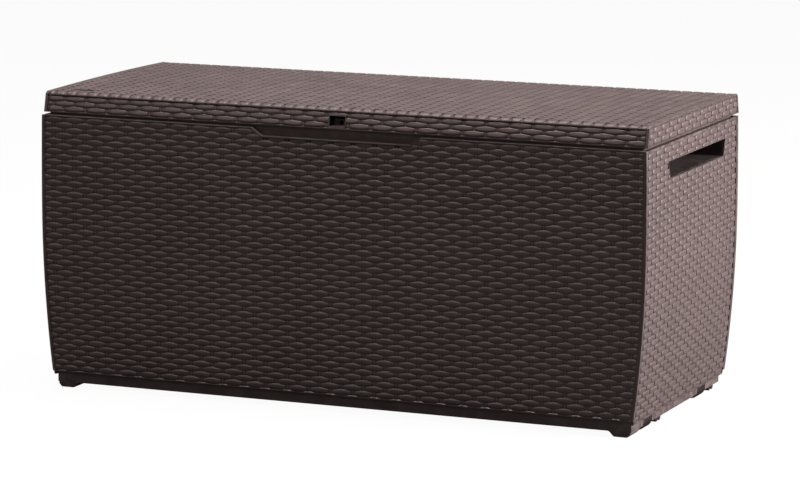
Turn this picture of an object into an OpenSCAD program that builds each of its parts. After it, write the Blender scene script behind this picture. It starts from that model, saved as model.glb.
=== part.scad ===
// Deck storage box: a resin trunk with woven-look panels, a hinged double-skinned lid,
// recessed carrying handles and two transport rollers under its right-hand end.
// Millimetres. +X to the right, +Y to the back, +Z up. The origin is on the ground,
// under the middle of the box.

/* [Overall size] */
// Length over the widest part of the end panels
box_l = 1226; // [1000:2:1500]
// Depth, from the front panel's face to the lid's rear lip
box_d = 544; // [450:2:660]
// Height to the crown of the lid
box_h = 576; // [470:2:700]

/* [End curve] */
// Height of the widest point of the ends
belly_z = 350; // [250:5:450]
// Radius of the ends below their widest point
lower_r = 2550; // [2000:50:6000]
// Radius of the ends above their widest point
upper_r = 9000; // [4000:100:20000]

/* [Panels] */
// Thickness of a wall panel, from its border's face to its inside face
wall = 5; // [4:0.5:8]
// Depth of the woven field below the smooth borders
relief = 2; // [1:0.1:2.5]
// Height of the panels' lower edge above the ground
panel_z = 32; // [26:1:40]
// Width of the smooth bead along the front panel's ends
bead_w = 6; // [4:1:14]
// Height of the upstand that keeps rain out under the lid
coaming_h = 12; // [8:1:14]
// Thickness of upstands, ledges and flanges
rib_t = 3; // [2:0.5:4]
// Length of the back panel's return around each rear corner
return_l = 10; // [8:1:40]

/* [Lid] */
// Height of the lid from its lip to its crown
lid_h = 41; // [34:1:52]
// Gap between the body's top edge and the lid's lip
lid_gap = 5; // [3:0.5:8]
// Distance of the lid's front lip behind the front panel's face
lid_setback = 8; // [5:1:12]
// How far the front and rear rims lean in
rim_lean = 8; // [4:1:12]
// Rise of the lid's middle over its edges
crown = 2.5; // [1:0.5:5]
// Wall thickness of the lid's shell
shell_t = 3; // [2.5:0.5:4]
// How far the lid opens, in degrees
lid_open = 92; // [80:1:95]

/* [Lock] */
// Width of the lock window in the lid's rim
window_w = 32; // [24:1:40]
// Height of the lock window
window_h = 19; // [14:1:20]
// Diameter of the padlock hole
lock_hole_d = 8; // [6:0.5:9]

/* [Handles] */
// Length of the handle slot along its top edge
slot_l = 334; // [240:2:360]
// Height of the handle slot
slot_h = 32; // [26:1:45]
// Depth of the handle cup behind the end's outer face
cup_depth = 70; // [50:1:90]
// Height of the slot's top edge below the body's top
slot_drop = 34; // [30:1:60]

/* [Base] */
// Distance of the skirt behind the front panel's face
skirt_setback = 9.5; // [8:0.5:14]
// Height of the skirt's lower edge above the ground
skirt_z = 10; // [8:1:14]
// Wall thickness of the base tray
tray_t = 4; // [3:0.5:6]
// Height of the tray's floor surface
floor_z = 42; // [38:1:60]
// Height of the tray's rim inside the panels
rim_z = 56; // [50:1:70]
// Length of a corner foot along the front
foot_l = 44; // [30:1:60]

/* [Rollers] */
// Radius of a roller
roller_r = 14; // [12:0.5:14]
// Width of a roller
roller_w = 46; // [30:1:60]
// Diameter of the roller axles
axle_d = 8; // [6:0.5:10]

/* [Hinges and stays] */
// Length of a hinge barrel
hinge_l = 84; // [60:2:120]
// Diameter of the hinge pins
pin_d = 5; // [4:0.5:6]
// Distance of the two outer hinges from the middle
hinge_x = 400; // [250:10:450]
// Distance of each stay's two pivots from the hinge axis
stay_r = 78; // [70:1:90]
// Angle between a stay's two pivots, seen from the hinge axis, with the lid closed
stay_angle = 24; // [20:1:30]
// Width of a stay arm
stay_w = 15; // [12:1:18]

/* [Hidden] */

$fn = 48;

resin = [0.22, 0.19, 0.18];
black_resin = [0.06, 0.06, 0.06];
steel = [0.66, 0.67, 0.68];
rubber = [0.10, 0.10, 0.10];

cut = 1;
run_gap = 0.04;
fit_gap = 0.3;

// Body
body_top = box_h - lid_h - lid_gap;
lid_z = box_h - lid_h;
front_y = -box_d / 2;
lid_back_y = box_d / 2;
back_y = lid_back_y - 4;
front_in_y = front_y + wall;
back_in_y = back_y - wall;
return_y = back_y - return_l;
panel_gap = 1.5;
side_end_y = return_y - panel_gap;
curve_steps = 20;
border = 1.5;
side_top_band = 5;
side_low_z = panel_z - 7;
back_border = 22;
flange_l = 18;
flange_low_z = rim_z + 4;
flange_top_z = body_top - 6;

function half_l(z) = box_l / 2
    - pow(z - belly_z, 2) / (2 * (z < belly_z ? lower_r : upper_r));
function heights(z0, z1) = [for (i = [0 : curve_steps]) z0 + (z1 - z0) * i / curve_steps];

// Upstand and ledge
ledge_in = 20;
coaming_y = front_y + ledge_in;
top_half_l = min(half_l(body_top), half_l(body_top - wall));
coaming_x = top_half_l - 10;
coaming_z = body_top + coaming_h;
coaming_end_y = side_end_y - 10;

// Finger grip in the front panel's top edge
grip_top_l = 342;
grip_low_l = 300;
grip_h = 15;
grip_back_y = coaming_y - rib_t;

// Base tray
skirt_y = front_y + skirt_setback;
skirt_back_y = back_y - skirt_setback;
tray_half_l = half_l(panel_z) - wall - 1.7;
tray_rib_z = 16;
tray_rib_t = 3;
tray_ribs = [11, 4];
foot_depth = 54;
foot_chamfer = 6;
foot_slope = 14;
foot_inset = 2;
corner_cut = 8;

// Rollers and their carriers
roller_x = tray_half_l - 13;
front_roller_y = front_y + 101;
rear_roller_y = back_y - 125;
roller_ys = [front_roller_y, rear_roller_y];
roller_round = 4;
bay_gap = 1;
bay_l = roller_w + 2 * bay_gap;
cheek_t = 4;
cheek_in = 12;
carrier_in = 24;
carrier_top = floor_z - tray_t;
carrier_plate_t = 5;
lug_r = 7.5;
lug_steps = [63, 79];
carrier_end = 90;
carrier_low = 5;
axle_l = bay_l + 2 * cheek_t + 4;

// Lid
lid_half_l = min(top_half_l, half_l(belly_z)) - 0.5;
lid_front_y = front_y + lid_setback;
lip_h = 2;
roll_y = 6.5;
roll_z = 3.5;
lid_edge_z = box_h - crown;
lid_mid_y = (lid_front_y + lid_back_y) / 2;
crown_half = (lid_back_y - lid_front_y) / 2 - rim_lean - roll_y;
crown_steps = 16;
corner_strip = 5.5;
end_strip = 3.5;
side_border = 4;
liner_t = 3;
liner_z = body_top + 15;
liner_gap = 2;
boss_d = 10;
boss_hole_d = 3.2;
tube_w = 25;
tube_h = 20;
tube_t = 1.5;
tube_y = 105;
tube_end = 36;
pan_depth = 1;

function crown_z(y) = box_h - crown * pow((y - lid_mid_y) / crown_half, 2);
function crown_line(inset) = [
    for (i = [0 : crown_steps])
        let (y = lid_mid_y + crown_half * (2 * i / crown_steps - 1))
        [y - inset * 0.45 * (y - lid_mid_y) / crown_half, crown_z(y) - inset]
];
function lid_outline(inset, low_z) = concat(
    [[lid_front_y + inset, low_z],
     [lid_front_y + rim_lean + inset, lid_edge_z - roll_z - inset * 0.4]],
    crown_line(inset),
    [[lid_back_y - rim_lean - inset, lid_edge_z - roll_z - inset * 0.4],
     [lid_back_y - inset, low_z]]
);

// Lock
window_z = lid_z + 5.5;
frame_w = 1.5;
lock_x0 = -9;
lock_x1 = 22;
lock_t = 4;
lock_y = coaming_y + 0.2;
lock_hole_x = 5.5;
lock_hole_z = window_z + 6.5;
lock_top_z = window_z + 13.5;
lock_foot_z = body_top - 15;
lock_screw_xs = [3, 16];
lock_screw_z = lock_foot_z + 7;

// Hinges
hinge_y = lid_back_y - 6;
hinge_z = body_top + 13;
knuckle_r = 5.5;
knuckle_gap = 0.5;
outer_knuckle = (hinge_l - 4 * knuckle_gap) / 4;
leaf_t = 3;
leaf_z = body_top - 42;
strap_y = hinge_y - 44;
notch_l = hinge_l + 8;
notch_h = hinge_z + 11 - lid_z;
hinge_xs = [-hinge_x, 0, hinge_x];
leaf_screw_x = 28;
pin_head_t = 1.5;

// Stays: both pivots lie at stay_r from the hinge axis, so an arm turns half as far as the lid
stay_top_z = body_top + 3;
stay_tilt = asin((hinge_z - stay_top_z) / stay_r);
stay_pin_y = hinge_y - stay_r * cos(stay_tilt);
stud_y = hinge_y - stay_r * cos(stay_tilt + stay_angle);
stud_z = hinge_z - stay_r * sin(stay_tilt + stay_angle);
reach_shut = 2 * stay_r * sin(stay_angle / 2);
reach_open = 2 * stay_r * sin((stay_angle + lid_open) / 2);
stay_t = 3;
ear_gap = 1;
ear_t = 2;
rivet_room = 2.6;
stay_x = coaming_x - rib_t - rivet_room - ear_t - ear_gap - stay_t;
stud_d = 6;
slot_play = 0.6;
stud_head_d = 12;
stud_pad_d = 14;
stud_base_x = stay_x + stay_t + 5;
bracket_l = 24;
bracket_in = 26;

// Handle cups
slot_z = body_top - slot_drop;
slot_taper = 10;
cup_t = 3;
cup_flange = 3;
cup_clear = 0.4;
slot_mid_y = stud_y - stud_pad_d / 2 - cup_clear - cup_flange - cup_t - slot_l / 2;
cup_flange_t = 2.5;
cup_seat_x = half_l(body_top) - wall - 0.4;
cup_end_x = half_l(slot_z) - cup_depth;

// Screws
screw_d = 4;
screw_head_d = 8;
screw_head_h = 2.5;
tray_screw_z = rim_z - 6;
tray_screw_l = tray_t + 4;
tray_screw_xs = [for (i = [-1.5 : 1]) i * tray_half_l * 0.6];
tray_screw_ys = [-150, 150];
liner_screw_xs = [for (i = [-2 : 2]) i * (lid_half_l - 50) / 2];
liner_screw_ys = [-1, 1];
liner_screw_y = 205;

// ---------------------------------------------------------------- shared shapes

// A plate between two heights whose ends follow the box's end curve
module curved_plate(y0, y1, z0, z1, inset) {
    zs = heights(z0, z1);
    right = [for (z = zs) [half_l(z) - inset, z]];
    left = [for (i = [curve_steps : -1 : 0]) [inset - half_l(zs[i]), zs[i]]];
    translate([0, y1, 0]) rotate([90, 0, 0]) linear_extrude(y1 - y0) polygon(concat(right, left));
}

// A sheet that follows the end curve at the right-hand end
module end_sheet(y0, y1, z0, z1, inset, thick) {
    zs = heights(z0, z1);
    outer = [for (z = zs) [half_l(z) - inset, z]];
    inner = [for (i = [curve_steps : -1 : 0]) [half_l(zs[i]) - inset - thick, zs[i]]];
    translate([0, y1, 0]) rotate([90, 0, 0]) linear_extrude(y1 - y0) polygon(concat(outer, inner));
}

// A block given by its two corners
module block(low, high) {
    translate(low) cube(high - low);
}

// An outline in the YZ plane, extruded along X
module along_x(x0, x1) {
    translate([x0, 0, 0]) rotate([90, 0, 90]) linear_extrude(x1 - x0) children();
}

// A round bar along X, Y or Z
module bar_x(x0, x1, y, z, d) {
    translate([x0, y, z]) rotate([0, 90, 0]) cylinder(h = x1 - x0, d = d);
}
module bar_y(x, y0, y1, z, d) {
    translate([x, y1, z]) rotate([90, 0, 0]) cylinder(h = y1 - y0, d = d);
}
module bar_z(x, y, z0, z1, d) {
    translate([x, y, z0]) cylinder(h = z1 - z0, d = d);
}

// A pan-head screw whose head lies under z = 0 and whose shank points up
module screw(length) {
    cylinder(h = length, d = screw_d - 0.2);
    translate([0, 0, -screw_head_h]) cylinder(h = screw_head_h, d1 = screw_head_d - 2, d2 = screw_head_d);
}

// Positions shared by the holes and the screws
module at_tray_screws() {
    for (x = tray_screw_xs, side = [-1, 1]) {
        y = side < 0 ? skirt_y + tray_t : skirt_back_y - tray_t;
        translate([x, y, tray_screw_z]) rotate([side < 0 ? 90 : -90, 0, 0]) children();
    }
    for (y = tray_screw_ys, side = [-1, 1])
        translate([side * (tray_half_l - tray_t), y, tray_screw_z]) rotate([0, side * 90, 0]) children();
}

module at_liner_screws() {
    for (x = liner_screw_xs, side = liner_screw_ys)
        translate([x, lid_mid_y + side * liner_screw_y, liner_z]) children();
}

module at_lock_screws() {
    for (x = lock_screw_xs)
        translate([x, lock_y + lock_t, lock_screw_z]) rotate([90, 0, 0]) children();
}

module at_cup_screws() {
    z = slot_z + cup_t + cup_flange / 2;
    for (side = [-1, 1], x = [-1, 1])
        translate([x * (cup_seat_x - cup_flange_t), slot_mid_y + side * slot_l / 4, z + 3])
            rotate([0, x * 90, 0]) children();
}

module screw_hole(depth) {
    translate([0, 0, -cut]) cylinder(h = depth + cut, d = screw_d);
}

// ---------------------------------------------------------------- body

// The finger grip's outline, wider at its top, grown by a margin
module grip_outline(margin, top_z) {
    low_z = body_top - grip_h - margin;
    slope = (grip_top_l - grip_low_l) / 2 / grip_h;
    top_half = grip_low_l / 2 + margin + slope * (top_z - low_z);
    low_half = grip_low_l / 2 + margin;
    polygon([[-low_half, low_z], [low_half, low_z], [top_half, top_z], [-top_half, top_z]]);
}

module front_panel() {
    color(resin) difference() {
        union() {
            curved_plate(front_y, front_in_y, panel_z, body_top, 0);
            block([-tray_half_l, front_in_y - cut, panel_z], [tray_half_l, skirt_y, rim_z]);
            block([-coaming_x, front_in_y - cut, body_top - rib_t], [coaming_x, coaming_y, body_top]);
            block([-coaming_x, coaming_y - rib_t, body_top - rib_t], [coaming_x, coaming_y, coaming_z]);
            translate([0, coaming_y, 0]) rotate([90, 0, 0])
                linear_extrude(coaming_y - front_in_y + cut) grip_outline(rib_t, body_top);
            for (side = [0, 1]) mirror([side, 0, 0])
                end_sheet(front_in_y - cut, front_in_y + flange_l, flange_low_z, flange_top_z,
                    wall + fit_gap, rib_t);
        }
        difference() {
            curved_plate(front_y - cut, front_y + relief, panel_z + border, body_top - border, bead_w);
            translate([0, front_y + wall, 0]) rotate([90, 0, 0])
                linear_extrude(wall + 2 * cut) grip_outline(2, body_top);
        }
        translate([0, grip_back_y, 0]) rotate([90, 0, 0])
            linear_extrude(grip_back_y - front_y + cut) grip_outline(0, body_top + cut);
        at_tray_screws() screw_hole(tray_screw_l + 0.5);
        at_lock_screws() screw_hole(lock_t + 2.2);
    }
}

module back_panel() {
    color(resin) difference() {
        union() {
            curved_plate(back_in_y, back_y, panel_z, body_top, 0);
            block([-tray_half_l, skirt_back_y, panel_z], [tray_half_l, back_in_y + cut, rim_z]);
            for (side = [0, 1]) mirror([side, 0, 0]) {
                end_sheet(return_y, back_in_y + cut, panel_z, body_top, 0, wall);
                end_sheet(side_end_y - flange_l, return_y + wall, flange_low_z, flange_top_z,
                    wall + fit_gap, rib_t);
                end_sheet(return_y, return_y + wall, flange_low_z, flange_top_z, wall - cut, rib_t);
            }
        }
        curved_plate(back_y - relief, back_y + cut, panel_z + border, body_top - border, back_border);
        at_tray_screws() screw_hole(tray_screw_l + 0.5);
        for (x = hinge_xs, side = [-1, 1])
            bar_y(x + side * leaf_screw_x, back_in_y - cut, back_in_y + 2.5, leaf_z + 12, screw_d);
    }
}

// The handle slot's outline in the YZ plane, grown by a margin
module slot_outline(margin) {
    top = slot_l / 2 + margin;
    low = slot_l / 2 - slot_taper + margin;
    translate([slot_mid_y, slot_z])
        polygon([[-low, -slot_h - margin], [low, -slot_h - margin], [top, margin], [-top, margin]]);
}

// The right-hand end panel
module end_panel() {
    difference() {
        union() {
            end_sheet(front_in_y, side_end_y, side_low_z, body_top, 0, wall);
            intersection() {
                block([tray_half_l + fit_gap, skirt_y, panel_z], [box_l, side_end_y, rim_z]);
                end_sheet(skirt_y, side_end_y, panel_z, rim_z, wall - cut, 3 * wall);
            }
            block([coaming_x, coaming_y, body_top - rib_t],
                [top_half_l - wall + cut, coaming_end_y, body_top]);
            block([coaming_x - rib_t, coaming_y, body_top - rib_t], [coaming_x, coaming_end_y, coaming_z]);
            bar_x(stud_base_x, half_l(stud_z) - wall + cut, stud_y, stud_z, stud_pad_d);
        }
        difference() {
            end_sheet(front_in_y + border, side_end_y - border, side_low_z + border,
                body_top - side_top_band, -cut, relief + cut);
            along_x(cup_seat_x, box_l) slot_outline(2);
        }
        along_x(cup_seat_x - wall, box_l) slot_outline(0);
        at_tray_screws() screw_hole(tray_screw_l - 1);
        at_cup_screws() screw_hole(cup_flange_t + 2.5);
        bar_x(stud_base_x - cut, stud_base_x + 5, stud_y, stud_z, stud_d + 0.1);
    }
}

module right_panel() {
    color(resin) end_panel();
}

module left_panel() {
    color(resin) mirror([1, 0, 0]) end_panel();
}

// The right-hand handle cup, open towards the outside
module handle_cup() {
    difference() {
        union() {
            along_x(cup_end_x - cup_t, cup_seat_x) slot_outline(cup_t);
            along_x(cup_seat_x - cup_flange_t, cup_seat_x) slot_outline(cup_t + cup_flange);
            for (side = [-1, 1])
                along_x(cup_seat_x - cup_flange_t, cup_seat_x)
                    translate([slot_mid_y + side * slot_l / 4 - 9, slot_z + cup_t])
                        square([18, cup_flange + 6]);
        }
        along_x(cup_end_x, cup_seat_x + cut) slot_outline(0);
        at_cup_screws() screw_hole(cup_flange_t + 1);
    }
}

module right_handle_cup() {
    color(resin) handle_cup();
}

module left_handle_cup() {
    color(resin) mirror([1, 0, 0]) handle_cup();
}

// A foot's outline in the XZ plane: chamfered outside, with a smooth slope inside
module foot_outline() {
    steps = 8;
    slope = [for (i = [0 : steps]) [foot_l - foot_slope + foot_slope * i / steps,
        skirt_z / 2 * (1 - cos(180 * i / steps))]];
    polygon(concat([[0, skirt_z + cut], [0, foot_chamfer], [foot_chamfer, 0]], slope,
        [[foot_l, skirt_z + cut]]));
}

module corner_foot(mirror_x, mirror_y) {
    mirror([mirror_x, 0, 0]) mirror([0, mirror_y, 0])
        translate([-tray_half_l + foot_inset, (mirror_y > 0 ? -skirt_back_y : skirt_y) + foot_depth, 0])
            rotate([90, 0, 0]) linear_extrude(foot_depth) foot_outline();
}

module base_tray() {
    inner_l = tray_half_l - tray_t;
    inner_y0 = skirt_y + tray_t;
    inner_y1 = skirt_back_y - tray_t;
    rib_step = [2 * inner_l / (tray_ribs[0] + 1), (inner_y1 - inner_y0) / (tray_ribs[1] + 1)];
    color(resin) difference() {
        union() {
            block([-tray_half_l, skirt_y, skirt_z], [tray_half_l, skirt_back_y, rim_z]);
            corner_foot(0, 0);
            corner_foot(1, 0);
            corner_foot(0, 1);
        }
        block([-inner_l, inner_y0, floor_z], [inner_l, inner_y1, rim_z + cut]);
        difference() {
            block([-inner_l, inner_y0, skirt_z - cut], [inner_l, inner_y1, carrier_top]);
            for (i = [1 : tray_ribs[0]])
                translate([i * rib_step[0] - inner_l - tray_rib_t / 2, inner_y0 - cut, tray_rib_z])
                    cube([tray_rib_t, inner_y1 - inner_y0 + 2 * cut, carrier_top]);
            for (i = [1 : tray_ribs[1]])
                translate([-inner_l - cut, inner_y0 + i * rib_step[1] - tray_rib_t / 2, tray_rib_z])
                    cube([2 * inner_l + 2 * cut, tray_rib_t, carrier_top]);
            for (side = [-1, 1])
                translate([side * (inner_l - foot_l / 2), 0, 0])
                    block([-foot_l / 2 - 4, inner_y0 - cut, skirt_z - 2 * cut],
                        [foot_l / 2 + 4, inner_y0 + foot_depth - tray_t, skirt_z + 4]);
            block([-inner_l - 4, inner_y1 + tray_t - foot_depth, skirt_z - 2 * cut],
                [-inner_l + foot_l, inner_y1 + cut, skirt_z + 4]);
        }
        for (y = roller_ys) {
            block([roller_x - carrier_in - 1, y - bay_l / 2 - cheek_t - 1, skirt_z - cut],
                [inner_l, y + carrier_end + 1, carrier_top]);
            block([inner_l - cut, y - bay_l / 2, -cut], [tray_half_l + cut, y + bay_l / 2, panel_z + 1]);
        }
        translate([tray_half_l, skirt_back_y, 0]) rotate(45)
            cube([corner_cut * sqrt(2), 4 * corner_cut, 2 * panel_z], center = true);
        block([tray_half_l - foot_inset - 1.2, skirt_y + foot_depth, -cut],
            [tray_half_l - foot_inset + 1, skirt_y + foot_depth + 1.2, skirt_z]);
        at_tray_screws() screw_hole(tray_screw_l);
        at_carrier_screws() screw_hole(tray_t);
    }
}

module lock_tab() {
    round_r = 3;
    color(black_resin) difference() {
        union() {
            block([lock_x0, lock_y, lock_foot_z], [lock_x1, lock_y + lock_t, lock_top_z - round_r]);
            block([lock_x0 + round_r, lock_y, lock_foot_z], [lock_x1 - round_r, lock_y + lock_t, lock_top_z]);
            for (x = [lock_x0 + round_r, lock_x1 - round_r])
                bar_y(x, lock_y, lock_y + lock_t, lock_top_z - round_r, 2 * round_r);
        }
        bar_y(lock_hole_x, lock_y - cut, lock_y + lock_t + cut, lock_hole_z, lock_hole_d);
        at_lock_screws() screw_hole(lock_t + cut);
    }
}

// Pads on the upstand that carry the closed lid
module lid_bumpers() {
    pad_l = 24;
    pad_z = liner_z - 0.2;
    color(rubber) {
        for (x = [-380, 380])
            block([x - pad_l / 2, coaming_y - rib_t, coaming_z], [x + pad_l / 2, coaming_y, pad_z]);
        for (side = [-1, 1], y = [-160, 60])
            block([side * (coaming_x - rib_t / 2) - rib_t / 2, y - pad_l / 2, coaming_z],
                [side * (coaming_x - rib_t / 2) + rib_t / 2, y + pad_l / 2, pad_z]);
    }
}

// ---------------------------------------------------------------- lid

module lid_shell() {
    core_l = lid_half_l - relief;
    inner = relief + shell_t;
    color(resin) difference() {
        union() {
            difference() {
                union() {
                    along_x(-core_l, core_l) polygon(lid_outline(relief, lid_z));
                    block([-lid_half_l, lid_front_y, lid_z], [lid_half_l, lid_back_y, lid_z + lip_h]);
                    for (side = [0, 1]) mirror([side, 0, 0]) lid_end();
                    along_x(-window_w / 2 - frame_w, window_w / 2 + frame_w) intersection() {
                        polygon(lid_outline(0, lid_z));
                        translate([lid_front_y - cut, lid_z])
                            square([inner + rim_lean, window_z + window_h + frame_w - lid_z]);
                    }
                }
                along_x(-lid_half_l + inner, lid_half_l - inner) polygon(lid_outline(inner, lid_z - cut));
            }
            intersection() {
                at_liner_screws() translate([0, 0, liner_t]) cylinder(h = lid_h, d = boss_d);
                along_x(-core_l, core_l) polygon(lid_outline(relief + cut, lid_z));
            }
        }
        block([-window_w / 2, lid_front_y - cut, window_z],
            [window_w / 2, lid_front_y + rim_lean + inner, window_z + window_h]);
        for (x = hinge_xs)
            block([x - notch_l / 2, hinge_y - 3 * inner, lid_z - cut],
                [x + notch_l / 2, lid_back_y + cut, lid_z + notch_h]);
        badge_pocket();
        at_liner_screws() cylinder(h = liner_t + 12, d = boss_hole_d + 0.8);
    }
}

// The lid's right-hand end: a smooth bead along the top edge and strips at the corners
module lid_end() {
    difference() {
        along_x(lid_half_l - end_strip, lid_half_l) polygon(lid_outline(0, lid_z));
        along_x(lid_half_l - relief, lid_half_l + cut)
            polygon(lid_outline(side_border, lid_z + lip_h));
    }
    along_x(lid_half_l - corner_strip, lid_half_l - cut) intersection() {
        polygon(lid_outline(0, lid_z));
        union() {
            translate([lid_front_y, lid_z]) square([rim_lean + 2, lid_h]);
            translate([lid_back_y - rim_lean - 2, lid_z]) square([rim_lean + 2, lid_h]);
        }
    }
}

badge_x = -lid_half_l + 60;
badge_y = lid_front_y + 46;
badge_size = [44, 13];
badge_floor = crown_z(badge_y - badge_size[1]) - relief - 0.6;

module badge_pocket() {
    block([badge_x - badge_size[0] / 2 - 0.2, badge_y - badge_size[1] / 2 - 0.2, badge_floor],
        [badge_x + badge_size[0] / 2 + 0.2, badge_y + badge_size[1] / 2 + 0.2, box_h]);
}

// A blank oval-ended plate
module blank_badge() {
    half = badge_size[0] / 2 - badge_size[1] / 2;
    color(black_resin) translate([badge_x, badge_y, badge_floor]) {
        linear_extrude(2.2) union() {
            square([2 * half, badge_size[1]], center = true);
            for (side = [-1, 1]) translate([side * half, 0]) circle(d = badge_size[1]);
        }
    }
}

module lid_liner() {
    half = lid_half_l - relief - shell_t - liner_gap;
    y0 = coaming_y - 1;
    y1 = hinge_y - 8;
    pan_l = half * 2 / 3 - 30;
    pan_d = (y1 - y0) / 2 - 90;
    color(resin) difference() {
        block([-half, y0, liner_z], [half, y1, liner_z + liner_t]);
        block([lock_x0 - 5, y0 - cut, liner_z - cut],
            [lock_x1 + 5, lock_y + lock_t + 6, liner_z + liner_t + cut]);
        for (x = [-1 : 1], side = [-1, 1])
            translate([x * half * 2 / 3, (y0 + y1) / 2 - 10 + side * (pan_d / 2 + 12), liner_z])
                cube([pan_l, pan_d, 2 * pan_depth], center = true);
        at_liner_screws() screw_hole(liner_t + cut);
        for (side = [-1, 1]) stay_bracket_screw_holes(side);
        for (x = hinge_xs, side = [-1, 1])
            bar_z(x + side * leaf_screw_x, strap_y + 12, liner_z - cut, liner_z + liner_t + cut, screw_d);
    }
}

module stay_bracket_screw_holes(side) {
    for (y = [-8, 8])
        bar_z(side * (stay_x + stay_t + ear_gap + ear_t - bracket_in + 6), stay_pin_y + y,
            liner_z - 3, liner_z + liner_t + cut, screw_d);
}

module lid_tube(y) {
    half = lid_half_l - tube_end;
    z0 = liner_z + liner_t;
    color(steel) difference() {
        block([-half, y - tube_w / 2, z0], [half, y + tube_w / 2, z0 + tube_h]);
        block([-half - cut, y - tube_w / 2 + tube_t, z0 + tube_t],
            [half + cut, y + tube_w / 2 - tube_t, z0 + tube_h - tube_t]);
    }
}

module front_lid_tube() {
    lid_tube(lid_mid_y - tube_y);
}

module rear_lid_tube() {
    lid_tube(lid_mid_y + tube_y);
}

// ---------------------------------------------------------------- hinges

module hinge_leaf(x) {
    color(black_resin) translate([x, 0, 0]) difference() {
        union() {
            block([-hinge_l / 2, back_in_y - leaf_t, leaf_z], [hinge_l / 2, back_in_y, hinge_z - 9]);
            for (side = [0, 1]) mirror([side, 0, 0]) {
                x0 = hinge_l / 2 - outer_knuckle;
                bar_x(x0, hinge_l / 2, hinge_y, hinge_z, 2 * knuckle_r);
                along_x(x0, hinge_l / 2) polygon([
                    [back_in_y - leaf_t, hinge_z - 17], [back_in_y, hinge_z - 17],
                    [back_in_y, body_top + 1], [hinge_y + 3, hinge_z - 4.5],
                    [hinge_y - 4, hinge_z], [back_in_y - leaf_t, hinge_z - 9]]);
            }
        }
        bar_x(-hinge_l, hinge_l, hinge_y, hinge_z, pin_d + 2 * run_gap);
        for (side = [-1, 1])
            bar_y(side * leaf_screw_x, back_in_y - leaf_t - cut, back_in_y + cut, leaf_z + 12, screw_d);
    }
}

module hinge_strap(x) {
    half = hinge_l / 2 - outer_knuckle - knuckle_gap;
    color(black_resin) translate([x, 0, 0]) difference() {
        union() {
            block([-hinge_l / 2, strap_y, liner_z - leaf_t], [hinge_l / 2, hinge_y - 7.5, liner_z]);
            block([-half, hinge_y - 8, liner_z - leaf_t], [half, hinge_y, liner_z]);
            bar_x(-half, half, hinge_y, hinge_z, 2 * knuckle_r);
        }
        bar_x(-hinge_l, hinge_l, hinge_y, hinge_z, pin_d + 2 * run_gap);
        for (side = [-1, 1])
            bar_z(side * leaf_screw_x, strap_y + 12, liner_z - 2 * leaf_t, liner_z + cut, screw_d);
    }
}

module hinge_pin(x) {
    color(steel) translate([x, 0, 0]) {
        bar_x(-hinge_l / 2 - 1, hinge_l / 2 + 1, hinge_y, hinge_z, pin_d);
        bar_x(-hinge_l / 2 - 0.2 - pin_head_t, -hinge_l / 2 - 0.2, hinge_y, hinge_z, pin_d + 3);
        bar_x(hinge_l / 2 + 0.2, hinge_l / 2 + 0.2 + pin_head_t, hinge_y, hinge_z, pin_d + 3);
    }
}

// ---------------------------------------------------------------- stays

// The right-hand arm: pivots on the lid, and its slot slides on the stud in the end panel
module stay_arm() {
    slot_w = stud_d + slot_play;
    lean = atan2(stud_z - stay_top_z, stud_y - stay_pin_y);
    color(steel) along_x(stay_x, stay_x + stay_t)
        translate([stay_pin_y, stay_top_z]) rotate(lean) difference() {
            union() {
                circle(d = stay_w);
                translate([0, -stay_w / 2]) square([reach_open, stay_w]);
                translate([reach_open, 0]) circle(d = stay_w);
            }
            circle(d = stud_d + 2 * run_gap);
            translate([reach_shut, 0]) circle(d = slot_w);
            translate([reach_shut, -slot_w / 2]) square([reach_open - reach_shut, slot_w]);
            translate([reach_open, 0]) circle(d = slot_w);
        }
}

module stay_stud() {
    color(steel) {
        bar_x(stay_x - 1, stud_base_x + 4.5, stud_y, stud_z, stud_d);
        bar_x(stay_x - 3, stay_x - 0.6, stud_y, stud_z, stud_head_d);
        bar_x(stay_x + stay_t + 0.6, stud_base_x, stud_y, stud_z, stud_head_d);
    }
}

module stay_bracket() {
    ear_x = stay_x + stay_t + ear_gap;
    color(steel) difference() {
        union() {
            block([ear_x + ear_t - bracket_in, stay_pin_y - bracket_l / 2, liner_z - ear_t],
                [ear_x + ear_t, stay_pin_y + bracket_l / 2, liner_z]);
            block([ear_x, stay_pin_y - 8, stay_top_z], [ear_x + ear_t, stay_pin_y + 8, liner_z]);
            bar_x(ear_x, ear_x + ear_t, stay_pin_y, stay_top_z, 16);
        }
        bar_x(ear_x - cut, ear_x + ear_t + cut, stay_pin_y, stay_top_z, stud_d + 2 * run_gap);
        stay_bracket_screw_holes(1);
    }
}

module stay_rivet() {
    ear_x = stay_x + stay_t + ear_gap;
    color(steel) {
        bar_x(stay_x - 1, ear_x + ear_t + 0.5, stay_pin_y, stay_top_z, stud_d);
        bar_x(stay_x - 3, stay_x - 0.4, stay_pin_y, stay_top_z, 11);
        bar_x(ear_x + ear_t + 0.1, ear_x + ear_t + 1.6, stay_pin_y, stay_top_z, 10);
    }
}

// ---------------------------------------------------------------- rollers

module roller(y) {
    half = roller_w / 2;
    arc = [for (i = [0 : 6]) [roller_r - roller_round + roller_round * sin(15 * i),
        half - roller_round + roller_round * cos(15 * i)]];
    bore_r = axle_d / 2 + run_gap;
    hub_r = axle_d / 2 + 3;
    dish = 2;
    side = concat([[bore_r, half], [hub_r, half], [hub_r + 1, half - dish],
        [roller_r - roller_round - 0.5, half - dish]], arc);
    flip = [for (i = [len(side) - 1 : -1 : 0]) [side[i][0], -side[i][1]]];
    color(black_resin) translate([roller_x, y, roller_r]) rotate([90, 0, 0])
        rotate_extrude() polygon(concat(side, flip));
}

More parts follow.
